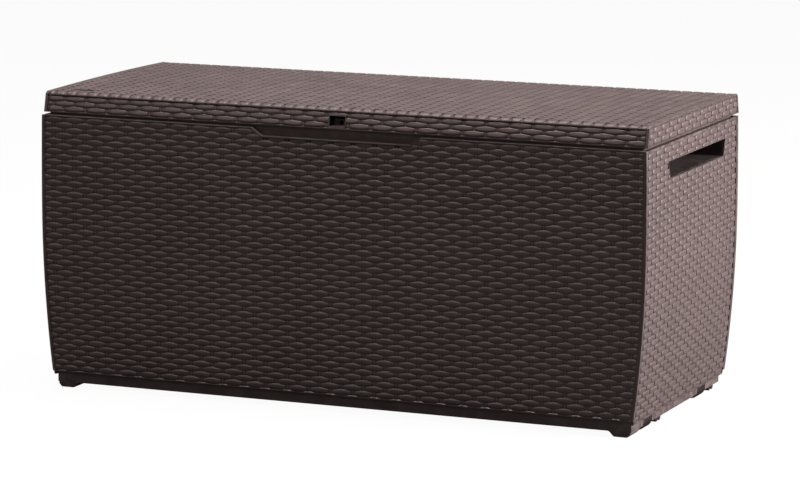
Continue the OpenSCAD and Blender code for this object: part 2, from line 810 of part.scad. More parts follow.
module axle(y) {
    color(steel) {
        bar_y(roller_x, y - axle_l / 2, y + axle_l / 2, roller_r, axle_d);
        for (side = [-1, 1])
            bar_y(roller_x, y + side * (axle_l / 2 + 0.5) - 1, y + side * (axle_l / 2 + 0.5) + 1,
                roller_r, axle_d + 4);
    }
}

// A roller's carrier: cheeks for the axle and two lugs that stand on the ground beside it
module roller_carrier(y) {
    x0 = roller_x - carrier_in;
    x1 = tray_half_l - tray_t - fit_gap;
    y0 = y - bay_l / 2 - cheek_t;
    plate_z = carrier_top - carrier_plate_t;
    color(black_resin) difference() {
        union() {
            block([x0, y0, plate_z], [x1, y + carrier_end, carrier_top]);
            for (side = [-1, 1])
                block([roller_x - cheek_in, y + side * (bay_l + cheek_t) / 2 - cheek_t / 2, carrier_low],
                    [x1, y + side * (bay_l + cheek_t) / 2 + cheek_t / 2, plate_z + cut]);
            for (step = lug_steps) {
                bar_x(roller_x - cheek_in, x1, y + step, lug_r, 2 * lug_r);
                block([roller_x - cheek_in, y + step - lug_r, lug_r], [x1, y + step + lug_r, plate_z + cut]);
            }
            block([roller_x - cheek_in, y + bay_l / 2, carrier_low + 8],
                [roller_x - cheek_in + cheek_t, y + carrier_end - 4, plate_z + cut]);
        }
        bar_y(roller_x, y - bay_l, y + bay_l / 2 + cheek_t + 1, roller_r, axle_d + 2 * run_gap);
        at_carrier_screws() translate([0, 0, -carrier_plate_t - cut])
            cylinder(h = carrier_plate_t + 2 * cut, d = screw_d);
    }
}

module at_carrier_screws() {
    for (y = roller_ys, step = [0, 45])
        translate([roller_x - carrier_in + 5, y + step, carrier_top]) children();
}

// ---------------------------------------------------------------- fasteners

module tray_screws() {
    color(steel) at_tray_screws() screw(tray_screw_l - 1.5);
}

module cup_screws() {
    color(steel) at_cup_screws() screw(cup_flange_t + 1.8);
}

module lock_screws() {
    color(steel) at_lock_screws() screw(lock_t + 1.8);
}

module hinge_leaf_screws() {
    color(steel) for (x = hinge_xs, side = [-1, 1])
        translate([x + side * leaf_screw_x, back_in_y - leaf_t, leaf_z + 12])
            rotate([-90, 0, 0]) screw(leaf_t + 2);
}

module hinge_strap_screws() {
    color(steel) {
        for (x = hinge_xs, side = [-1, 1])
            translate([x + side * leaf_screw_x, strap_y + 12, liner_z - leaf_t]) screw(leaf_t + liner_t);
        for (side = [-1, 1], y = [-8, 8])
            translate([side * (stay_x + stay_t + ear_gap + ear_t - bracket_in + 6), stay_pin_y + y,
                liner_z - ear_t]) screw(ear_t + liner_t);
    }
}

module liner_screws() {
    color(steel) at_liner_screws() screw(liner_t + 10);
}

module carrier_screws() {
    color(steel) at_carrier_screws() translate([0, 0, -carrier_plate_t]) screw(carrier_plate_t + 3.5);
}

// ---------------------------------------------------------------- pieces

base_tray();
front_panel();
back_panel();
left_panel();
right_panel();
left_handle_cup();
right_handle_cup();
lock_tab();
lid_bumpers();
lid_shell();
lid_liner();
front_lid_tube();
rear_lid_tube();
blank_badge();
hinge_leaf(-hinge_x);  // left_hinge_leaf
hinge_leaf(0);  // middle_hinge_leaf
hinge_leaf(hinge_x);  // right_hinge_leaf
hinge_strap(-hinge_x);  // left_hinge_strap
hinge_strap(0);  // middle_hinge_strap
hinge_strap(hinge_x);  // right_hinge_strap
hinge_pin(-hinge_x);  // left_hinge_pin
hinge_pin(0);  // middle_hinge_pin
hinge_pin(hinge_x);  // right_hinge_pin
mirror([1, 0, 0]) stay_arm();  // left_stay_arm
stay_arm();  // right_stay_arm
mirror([1, 0, 0]) stay_stud();  // left_stay_stud
stay_stud();  // right_stay_stud
mirror([1, 0, 0]) stay_bracket();  // left_stay_bracket
stay_bracket();  // right_stay_bracket
mirror([1, 0, 0]) stay_rivet();  // left_stay_rivet
stay_rivet();  // right_stay_rivet
roller(front_roller_y);  // front_roller
roller(rear_roller_y);  // rear_roller
axle(front_roller_y);  // front_axle
axle(rear_roller_y);  // rear_axle
roller_carrier(front_roller_y);  // front_roller_carrier
roller_carrier(rear_roller_y);  // rear_roller_carrier
tray_screws();
cup_screws();
lock_screws();
hinge_leaf_screws();
hinge_strap_screws();
liner_screws();
carrier_screws();
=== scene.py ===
"""Looks of a deck storage box: woven resin skins, moulded plastic, rubber and steel.

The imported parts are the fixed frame. The woven skins lie in the shallow fields that the
panels and the lid leave for them, and every part gets its own finish. All sizes are metres.
"""

import logging
import math
from dataclasses import dataclass, replace
from enum import Enum
from typing import Callable, Sequence

import bpy
import numpy as np
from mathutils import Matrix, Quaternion, Vector


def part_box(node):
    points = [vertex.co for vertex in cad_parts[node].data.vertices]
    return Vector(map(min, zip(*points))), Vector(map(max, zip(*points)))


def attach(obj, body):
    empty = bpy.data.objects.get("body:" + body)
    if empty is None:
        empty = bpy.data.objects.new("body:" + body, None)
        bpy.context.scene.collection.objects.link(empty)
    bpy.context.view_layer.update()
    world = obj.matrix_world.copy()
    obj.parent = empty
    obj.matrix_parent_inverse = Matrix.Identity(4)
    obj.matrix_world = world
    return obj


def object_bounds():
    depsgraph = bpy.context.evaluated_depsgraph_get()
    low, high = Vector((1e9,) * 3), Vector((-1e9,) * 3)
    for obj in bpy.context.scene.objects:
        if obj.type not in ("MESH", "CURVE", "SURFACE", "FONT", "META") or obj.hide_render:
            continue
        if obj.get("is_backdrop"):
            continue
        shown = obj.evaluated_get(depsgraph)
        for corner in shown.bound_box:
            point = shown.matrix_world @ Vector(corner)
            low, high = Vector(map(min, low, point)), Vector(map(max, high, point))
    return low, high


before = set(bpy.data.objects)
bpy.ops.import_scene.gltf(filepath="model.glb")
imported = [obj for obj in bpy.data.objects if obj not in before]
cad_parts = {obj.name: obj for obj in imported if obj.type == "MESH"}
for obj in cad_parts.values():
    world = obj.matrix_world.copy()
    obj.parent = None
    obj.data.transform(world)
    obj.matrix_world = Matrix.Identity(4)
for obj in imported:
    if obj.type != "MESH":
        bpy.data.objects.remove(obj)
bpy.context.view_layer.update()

LOG = logging.getLogger("deck_storage_box")
MM = 0.001

# Depth of the fields that the panels leave for the skins, and depths at a skin's own edges.
RELIEF = 2 * MM
RIM_DEPTH = 0.1 * MM
END_DEPTH = 1.6 * MM

Colour = tuple[float, float, float]
Triple = tuple[float, float, float]
Range = tuple[float, float]
Corner = tuple[float, float]
Socket = bpy.types.NodeSocket
PlaceFn = Callable[[np.ndarray, np.ndarray, np.ndarray], np.ndarray]


# ------------------------------------------------------------------ finishes


class Nodes:
    """A small helper that adds and links shader nodes in one material."""

    # A Mix node keeps its colour sockets at these places.
    COLOUR_INPUTS = (6, 7)
    COLOUR_OUTPUT = 2

    def __init__(self, name: str) -> None:
        """Starts a material with a Principled shader.

        Args:
            name: The material's name.
        """
        self.material = bpy.data.materials.new(name)
        self.material.use_nodes = True
        self.tree = self.material.node_tree
        self.shader = self.tree.nodes["Principled BSDF"]
        self.place = self.add("ShaderNodeTexCoord").outputs["Object"]

    def add(self, kind: str, **inputs: object) -> bpy.types.Node:
        """Adds a node and sets or links its inputs.

        Args:
            kind: The node's type name.
            **inputs: Input values or output sockets, by input name with _ for a space.

        Returns:
            The new node.
        """
        node = self.tree.nodes.new(kind)
        for key, value in inputs.items():
            self.feed(node.inputs[key.replace("_", " ")], value)
        return node

    def feed(self, socket: Socket, value: object) -> None:
        """Links an output to a socket, or sets its value.

        Args:
            socket: The input to feed.
            value: An output socket or a plain value.
        """
        if isinstance(value, Socket):
            self.tree.links.new(value, socket)
        else:
            socket.default_value = value

    def noise(
        self, scale: float, detail: float = 3.0, stretch: Sequence[float] = (1, 1, 1)
    ) -> Socket:
        """Noise at a scale, stretched along the axes.

        Args:
            scale: Cells in each metre.
            detail: Octaves of detail.
            stretch: Factor on each axis.

        Returns:
            The noise's value output.
        """
        mapping = self.add("ShaderNodeMapping", Vector=self.place)
        mapping.inputs["Scale"].default_value = stretch
        node = self.add("ShaderNodeTexNoise", Vector=mapping.outputs[0], Scale=scale, Detail=detail)
        return node.outputs["Fac"]

    def span(self, value: object, source: Range, target: Range = (0.0, 1.0)) -> Socket:
        """Maps a value from one range to another, clamped.

        Args:
            value: The output to map.
            source: Start and end of the input range.
            target: Results at the start and at the end.

        Returns:
            The mapped output.
        """
        node = self.add("ShaderNodeMapRange", Value=value)
        for index, number in enumerate((*source, *target), start=1):
            node.inputs[index].default_value = number
        return node.outputs[0]

    def mix(self, share: object, first: object, second: object) -> Socket:
        """Mixes two colours.

        Args:
            share: Share of the second colour.
            first: First colour or output.
            second: Second colour or output.

        Returns:
            The mixed colour output.
        """
        node = self.tree.nodes.new("ShaderNodeMix")
        node.data_type = "RGBA"
        self.feed(node.inputs["Factor"], share)
        for key, value in zip(self.COLOUR_INPUTS, (first, second)):
            self.feed(node.inputs[key], value if isinstance(value, Socket) else (*value, 1))
        return node.outputs[self.COLOUR_OUTPUT]

    def times(self, first: object, second: object) -> Socket:
        """Multiplies two values.

        Args:
            first: The first output.
            second: The second output.

        Returns:
            The product.
        """
        node = self.tree.nodes.new("ShaderNodeMath")
        node.operation = "MULTIPLY"
        self.feed(node.inputs[0], first)
        self.feed(node.inputs[1], second)
        return node.outputs[0]

    def bump(self, height: object, depth: float, before: Socket | None = None) -> Socket:
        """Adds a bump from a height.

        Args:
            height: The height output.
            depth: Depth of the bump in metres.
            before: A normal output that this bump adds to.

        Returns:
            The normal output.
        """
        node = self.add("ShaderNodeBump", Height=height)
        node.inputs["Strength"].default_value = 1.0
        node.inputs["Distance"].default_value = depth
        if before is not None:
            self.feed(node.inputs["Normal"], before)
        return node.outputs[0]


# The values between which a noise mostly lies.
NOISE_RANGE: Range = (0.3, 0.7)


@dataclass(frozen=True)
class Resin:
    """Moulded resin with a fine grain, faint mottling, paler worn edges and, on woven skins,
    painted shade in the grooves between strands.

    Attributes:
        name: The material's name.
        slot: Name of a material slot; not used.
        dark: Colour of the darker mottling.
        light: Colour of the lighter mottling.
        worn: Colour of worn crests and edges.
        gloss: Lowest and highest roughness.
        grain: Depth of the moulded grain.
        woven: True where the surface is a skin that carries the "crest" attribute.
        groove_reach: Crest value at which the painted shade in the grooves ends.
        specular: Strength of the gloss on plain faces and crests.
        sheen: Tint of the gloss.
    """

    name: str
    slot: str
    dark: Colour
    light: Colour
    worn: Colour
    gloss: Range = (0.42, 0.56)
    grain: float = 0.05 * MM
    woven: bool = False
    groove_reach: float = 0.26
    specular: float = 0.5
    sheen: Colour = (1.0, 0.80, 0.79)

    # Noise scales, in cells in each metre.
    CLOUDS = 7.0
    SPECKLE = 1400.0
    STRAND_GRAIN = 260.0
    STRAND_STRETCH = (0.12, 0.12, 1.0)
    PLAIN_GRAIN = 420.0
    PATCHES = 55.0

    # Where the painted shade in the grooves begins, how dark that painted shade goes and how much
    # gloss the grooves keep.
    GROOVE_START = 0.06
    GROOVE_COVER = 0.9
    GROOVE_SHADE = 0.15
    GROOVE_GLOSS = 0.1

    # Wear on crests, by height and by patch, and on the edges of plain parts, by sharpness.
    CREST_WEAR = (0.15, 0.95)
    CREST_PATCHES = (0.45, 0.7)
    CREST_COVER = 0.35
    EDGE_WEAR = (0.515, 0.58)
    EDGE_PATCHES = (0.42, 0.62)
    EDGE_COVER = 0.6

    def material(self) -> bpy.types.Material:
        """Builds the resin's material.

        Returns:
            The material.
        """
        n = Nodes(self.name)
        clouds = n.span(n.noise(self.CLOUDS, 4.0), NOISE_RANGE)
        colour = n.mix(clouds, self.dark, self.light)
        speckle = n.noise(self.SPECKLE, 2.0)
        if self.woven:
            attribute = n.tree.nodes.new("ShaderNodeAttribute")
            attribute.attribute_name = "crest"
            crest = attribute.outputs["Fac"]
            rough = grain = n.noise(self.STRAND_GRAIN, 3.0, self.STRAND_STRETCH)
            reach = (self.GROOVE_START, self.groove_reach)
            # Painted shade: the colour darkens towards the groove colour down between the strands.
            colour = n.mix(n.span(crest, reach, (self.GROOVE_COVER, 0.0)), colour, self.painted_groove_shade)
            patches = n.span(rough, self.CREST_PATCHES, (0.0, self.CREST_COVER))
            worn = n.times(n.span(crest, self.CREST_WEAR), patches)
            shine = n.span(crest, reach, (self.GROOVE_GLOSS * self.specular, self.specular))
        else:
            sharpness = n.add("ShaderNodeNewGeometry").outputs["Pointiness"]
            rough = n.span(n.noise(self.PATCHES, 4.0), self.EDGE_PATCHES)
            grain = n.noise(self.PLAIN_GRAIN, 4.0)
            worn = n.times(n.span(sharpness, self.EDGE_WEAR, (0.0, self.EDGE_COVER)), rough)
            shine = self.specular
        n.feed(n.shader.inputs["Base Color"], n.mix(worn, colour, self.worn))
        n.feed(n.shader.inputs["Roughness"], n.span(rough, NOISE_RANGE, self.gloss))
        normal = n.bump(speckle, self.grain * 0.5, n.bump(grain, self.grain))
        n.feed(n.shader.inputs["Normal"], normal)
        n.feed(n.shader.inputs["Specular IOR Level"], shine)
        n.shader.inputs["Specular Tint"].default_value = (*self.sheen, 1)
        return n.material

    @property
    def painted_groove_shade(self) -> Colour:
        """The painted shade colour down in the valleys between strands."""
        return tuple(self.GROOVE_SHADE * c for c in self.dark)


@dataclass(frozen=True)
class Steel:
    """Zinc-plated steel with rolled streaks and dull patches.

    Attributes:
        name: The material's name.
        slot: Name of a material slot; not used.
        dark: Colour of the dull patches.
        light: Colour of the bright patches.
        gloss: Lowest and highest roughness.
        streak: Stretch of the rolled streaks on each axis.
        streak_depth: Depth of the rolled streaks.
    """

    name: str
    slot: str
    dark: Colour
    light: Colour
    gloss: Range = (0.26, 0.5)
    streak: Triple = (0.08, 1.0, 1.0)
    streak_depth: float = 0.02 * MM

    # Noise scales, in cells in each metre, and the range that parts dull from bright patches.
    STREAKS = 900.0
    PATCHES = 90.0
    PATCH_RANGE = (0.35, 0.65)

    def material(self) -> bpy.types.Material:
        """Builds the steel's material.

        Returns:
            The material.
        """
        n = Nodes(self.name)
        streaks = n.noise(self.STREAKS, 3.0, self.streak)
        patches = n.span(n.noise(self.PATCHES, 3.0), self.PATCH_RANGE)
        n.feed(n.shader.inputs["Base Color"], n.mix(patches, self.dark, self.light))
        n.feed(n.shader.inputs["Roughness"], n.span(streaks, NOISE_RANGE, self.gloss))
        n.feed(n.shader.inputs["Normal"], n.bump(streaks, self.streak_depth))
        n.shader.inputs["Metallic"].default_value = 1.0
        return n.material


class Finish(Enum):
    """The finishes of the box's parts."""

    WOVEN = Resin(
        "woven_resin", "woven_resin", (0.050, 0.037, 0.0355), (0.062, 0.046, 0.044),
        (0.115, 0.092, 0.088), (0.30, 0.42), woven=True, specular=0.65,
    )
    # The bricks have a higher groove_reach, so their painted groove shade spreads further up the
    # strands.
    BRICK = Resin(
        "brick_resin", "woven_resin", (0.050, 0.037, 0.0355), (0.062, 0.046, 0.044),
        (0.115, 0.092, 0.088), (0.43, 0.55), 0.03 * MM, woven=True, groove_reach=0.62,
    )
    # A darker copy of the smooth resin: painted shade for the handle cups' shadowed hollows.
    SHADED_CUP = Resin(
        "shaded_cup_resin", "smooth_resin", (0.016, 0.0125, 0.012), (0.022, 0.0172, 0.0165),
        (0.05, 0.042, 0.04), (0.45, 0.6),
    )
    SMOOTH = Resin(
        "smooth_resin", "smooth_resin", (0.046, 0.034, 0.0325), (0.056, 0.042, 0.040),
        (0.11, 0.089, 0.085), (0.40, 0.54),
    )
    BLACK = Resin(
        "black_resin", "black_resin", (0.0055, 0.005, 0.005), (0.009, 0.0083, 0.0083),
        (0.03, 0.028, 0.028), (0.42, 0.58), specular=0.35,
    )
    ROLLER = Resin(
        "roller_resin", "roller_resin", (0.0025, 0.0023, 0.0023), (0.0045, 0.0042, 0.0041),
        (0.014, 0.013, 0.0125), (0.5, 0.7), 0.06 * MM, specular=0.2,
    )
    RUBBER = Resin(
        "rubber_pad", "rubber_pad", (0.012, 0.012, 0.012), (0.022, 0.021, 0.021),
        (0.05, 0.05, 0.05), (0.7, 0.85), 0.08 * MM,
    )
    ZINC = Steel("zinc_steel", "zinc_steel", (0.42, 0.43, 0.44), (0.58, 0.59, 0.60))
    PIN = Steel("pin_steel", "pin_steel", (0.46, 0.46, 0.47), (0.6, 0.6, 0.61), (0.2, 0.42))


class Dresser:
    """Keeps one material for each finish and puts finishes on parts."""

    # Points closer than WELD are joined, and edges sharper than CREASE are rounded by SOFTEN.
    WELD = 0.01 * MM
    CREASE = math.radians(35)
    SOFTEN = 0.4 * MM

    def __init__(self) -> None:
        """Makes the materials."""
        self.materials = {f: f.value.material() for f in Finish}

    def dress(self, piece: bpy.types.Object, finish: Finish) -> None:
        """Puts a finish on a new piece.

        Args:
            piece: The piece.
            finish: Its finish.
        """
        piece.data.materials.clear()
        piece.data.materials.append(self.materials[finish])

    def dress_parts(self, finish: Finish, *names: str) -> None:
        """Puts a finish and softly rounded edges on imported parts.

        Args:
            finish: The finish.
            *names: The parts.
        """
        for name in names:
            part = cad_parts[name]
            for index in range(len(part.material_slots)):
                part.material_slots[index].link = "OBJECT"
                part.material_slots[index].material = self.materials[finish]
            if not part.material_slots:
                part.data.materials.append(self.materials[finish])
            weld = part.modifiers.new("weld", "WELD")
            weld.merge_threshold = self.WELD
            bevel = part.modifiers.new("soft_edges", "BEVEL")
            bevel.width = self.SOFTEN
            bevel.segments = 2
            bevel.limit_method = "ANGLE"
            bevel.angle_limit = self.CREASE
            bevel.harden_normals = False
            bevel.use_clamp_overlap = True
            LOG.info("%s: %s", name, finish.name.lower())


# ------------------------------------------------------------------ woven skins


@dataclass(frozen=True)
class Relief:
    """A woven field.

    Attributes:
        along: Places of the columns along the rows.
        across: Places across the rows, by line and column.
        depth: Depths below the crests, by line and column.
        seams: True for each line that lies between two rows.
    """

    along: np.ndarray
    across: np.ndarray
    depth: np.ndarray
    seams: np.ndarray


@dataclass(frozen=True)
class Weave:
    """Flat strands that pass over one upright and dive behind the next.

    Attributes:
        row: Height of a row.
        upright: Spacing of the uprights.
        phase: Place of one upright along the rows.
        swell: How far the seams sway up and down as strands swell and thin.
        flatness: Above 1, the swaying seams get flat tops.
        valley: Greatest depth, where a strand has dived.
        seam: Depth of the line between two rows.
        foot: Half width of a dip at its bottom.
        shoulder: Distance from a dip at which a strand is back at its full height.
        lens: How much wider a dip is at a strand's edges than at its middle.
        upper_fullness: Power that keeps a strand's upper half flat before it drops.
        lower_fullness: The same for its lower half.
        hem: Plain margin above and below the rows.
        rail: Depth of an upright's face where it shows in a dip.
        rail_half: Half width of an upright.
        rail_dive: How fast an upright bends inwards above and below a row's middle.
        in_step: True where every row has its dips at the same places.
        columns: Places of the columns from one upright to the next.
        lines: Places of the lines across a strand, -1 at its lower seam and 1 at its upper one.
    """

    row: float = 10.25 * MM
    upright: float = 22.3 * MM
    phase: float = -8.7 * MM
    swell: float = 1.1 * MM
    flatness: float = 1.25
    valley: float = 1.85 * MM
    seam: float = 1.85 * MM
    foot: float = 1.6 * MM
    shoulder: float = 6.0 * MM
    lens: float = 6.5 * MM
    upper_fullness: float = 5.0
    lower_fullness: float = 6.0
    hem: float = 1.0 * MM
    rail: float = 0.4 * MM
    rail_half: float = 1.7 * MM
    rail_dive: float = 40.0
    in_step: bool = False
    columns: tuple[float, ...] = (
        0, 1.4 * MM, 3.6 * MM, 6.8 * MM, 11.15 * MM, 15.5 * MM, 18.7 * MM, 20.9 * MM,
    )
    lines: tuple[float, ...] = (-1.0, -0.78, 0.45, 0.78)

    # Distances of a field's last columns from its ends.
    END_CLEAR = 1.0 * MM
    END_STEP = 0.6 * MM

    def stations(self, length: float) -> np.ndarray:
        """Column places along a row, closest together at the uprights.

        Args:
            length: Length of the field.

        Returns:
            Sorted places from -length/2 to length/2.
        """
        count = int(length / self.upright) + 3
        base = self.upright * np.arange(-count, count)[:, None] + np.array(self.columns)[None, :]
        places = base.ravel() + self.phase
        inner = places[np.abs(places) < length / 2 - self.END_CLEAR]
        ends = np.array([length / 2 - self.END_STEP, length / 2])
        return np.unique(np.concatenate([-ends, inner, ends]))

    def from_dip(self, along: np.ndarray, row: int) -> np.ndarray:
        """Share of the way from a row's nearest dip to its crest.

        Args:
            along: Places along the row.
            row: The row's number from the bottom.

        Returns:
            0 at a dip and 1 at a crest.
        """
        step = (along - self.phase) / self.upright
        if self.in_step:
            return np.abs(step - np.round(step)) * 2
        turn = np.mod(step - row % 2, 2)
        return np.minimum(turn, 2 - turn)

    def strand_depth(self, gap: np.ndarray, line: float, off_middle: np.ndarray) -> np.ndarray:
        """Depth of a strand, or of the upright that stands in its dip.

        Args:
            gap: Distance from the dip.
            line: Place across the strand, -1 at its lower seam and 1 at its upper one.
            off_middle: Distance from the row's middle line.

        Returns:
            Depths below the crest.
        """
        fullness = self.upper_fullness if line > 0 else self.lower_fullness
        start = self.foot + self.lens * line**2 / 2
        rise = np.clip((gap - start) / (self.shoulder + self.lens * line**2 - start), 0, 1)
        rise = rise * rise * (3 - 2 * rise)
        strand = self.valley * (1 - rise) + self.seam * rise * abs(line) ** fullness
        side = (self.valley - self.rail) * (gap / self.rail_half) ** 2
        return np.minimum(strand, self.rail + self.rail_dive * off_middle**2 + side)

    def field(self, length: float, height: float) -> Relief:
        """Builds the woven field.

        Args:
            length: Length along the rows.
            height: Height across the rows.

        Returns:
            The field, centred on zero both ways.
        """
        along = self.stations(length)
        rows = max(1, round((height - 2 * self.hem) / self.row))
        pitch = (height - 2 * self.hem) / rows
        reach = 0.0 if self.in_step else self.swell
        half_step = self.upright / (2 if self.in_step else 1)

        def seam(row: int) -> np.ndarray:
            """The line between a row and the row before it."""
            wave = np.clip(self.flatness * np.cos(np.pi * self.from_dip(along, row)), -1, 1)
            return -height / 2 + self.hem + row * pitch + reach * wave

        rim = np.full_like(along, RIM_DEPTH)
        across, depth, seams = [np.full_like(along, -height / 2)], [rim], [False]
        for row in range(rows):
            low, high = seam(row), seam(row + 1)
            middle = -height / 2 + self.hem + (row + 0.5) * pitch
            gap = self.from_dip(along, row) * half_step
            for line in self.lines:
                at = low + (high - low) * (line + 1) / 2
                across.append(at)
                depth.append(self.strand_depth(gap, line, at - middle))
                seams.append(line == -1.0)
        across += [seam(rows), np.full_like(along, height / 2)]
        depth += [np.full_like(along, self.seam), rim]
        seams += [True, False]
        deep = np.minimum(np.array(depth), self.valley)
        deep[:, [0, -1]] = np.maximum(deep[:, [0, -1]], END_DEPTH)
        return Relief(along, np.array(across), deep, np.array(seams))


# Spacing and place of the lid's uprights, and a row height that gives a strip a single row.
LID_UPRIGHT = 22.77 * MM
LID_PHASE = 22.1 * MM
ONE_ROW = 1.0

WALL_WEAVE = Weave()
BRICK_WEAVE = Weave(
    swell=0.8 * MM, seam=1.0 * MM, foot=2.2 * MM, shoulder=4.8 * MM, lens=1.2 * MM,
    lower_fullness=5.0, rail=1.7 * MM, rail_half=0.7 * MM,
    columns=(0, 1.8 * MM, 3.2 * MM, 5.0 * MM, 11.15 * MM, 17.3 * MM, 19.1 * MM, 20.5 * MM),
    lines=(-1.0, -0.8, -0.5, 0.1, 0.6, 0.8),
)
RIM_WEAVE = Weave(
    upright=LID_UPRIGHT, phase=LID_PHASE, hem=0.6 * MM, swell=0.7 * MM, foot=1.1 * MM,
    shoulder=3.6 * MM, lens=3.0 * MM, upper_fullness=4.5, rail=0.2 * MM, rail_half=1.1 * MM,
    columns=(0, 1.2 * MM, 2.5 * MM, 4.8 * MM, 11.4 * MM, 18.0 * MM, 20.3 * MM, 21.6 * MM),
    lines=(-1.0, -0.8, -0.4, 0.3, 0.7, 0.88),
)
TOP_WEAVE = Weave(
    upright=LID_UPRIGHT, phase=LID_PHASE, swell=0.3 * MM, seam=0.5 * MM, foot=2.6 * MM,
    shoulder=5.4 * MM, lens=1.0 * MM, upper_fullness=4.0, lower_fullness=4.0, rail=1.5 * MM,
    columns=(0, 2.2 * MM, 3.8 * MM, 5.8 * MM, 11.4 * MM, 17.0 * MM, 19.0 * MM, 20.6 * MM),
    lines=(-1.0, -0.9, 0.0, 0.92),
)
EDGE_BRICKS = Weave(
    row=ONE_ROW, in_step=True, upright=LID_UPRIGHT, phase=LID_PHASE, hem=0.2 * MM,
    foot=1.3 * MM, shoulder=3.0 * MM, lens=0.4 * MM, rail=1.9 * MM, seam=1.6 * MM,
    upper_fullness=12.0, lower_fullness=12.0,
    columns=(
        0, 1.2 * MM, 2.2 * MM, 3.2 * MM, 8 * MM, 14.8 * MM, 19.6 * MM, 20.6 * MM, 21.6 * MM,
    ),
    lines=(-1.0, -0.92, -0.8, -0.5, -0.2, 0.1, 0.4, 0.64, 0.85),
)


